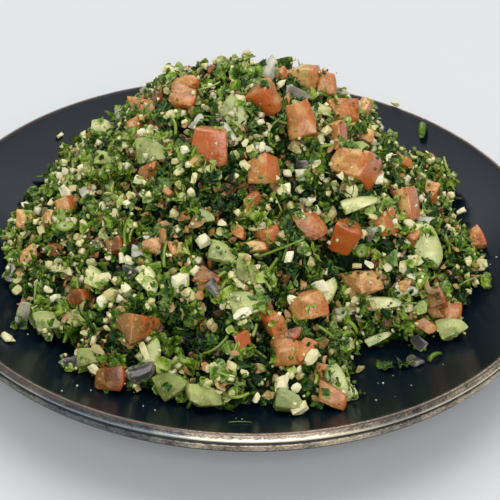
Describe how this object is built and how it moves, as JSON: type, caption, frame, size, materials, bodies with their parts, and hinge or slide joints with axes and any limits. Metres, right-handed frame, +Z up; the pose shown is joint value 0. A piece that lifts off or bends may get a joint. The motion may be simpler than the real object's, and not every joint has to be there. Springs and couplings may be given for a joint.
{
  "type": "tabbouleh salad on a plate",
  "caption": "Chopped parsley salad with tomato, cucumber, onion and bulgur, heaped on a round dark glazed coupe plate with a metallic edge.",
  "frame": {"origin": "middle of the plate's foot, on the surface that the plate stands on", "axes": "+Z up, -Y towards the diner and the viewer, +X to the viewer's right"},
  "size_m": [0.22, 0.22, 0.0803],
  "materials": {
    "plate_glaze": "glossy charcoal-navy glazed stoneware, with a thin coppery line inside the lip and a mottled pewter and gold band round the edge",
    "salad": "wet, oiled food: dark green chopped parsley, orange-red tomato, pale green cucumber, translucent onion, cream bulgur"
  },
  "bodies": {
    "root": {"plate": "plate_glaze", "salad": "salad"}
  },
  "joints": []
}
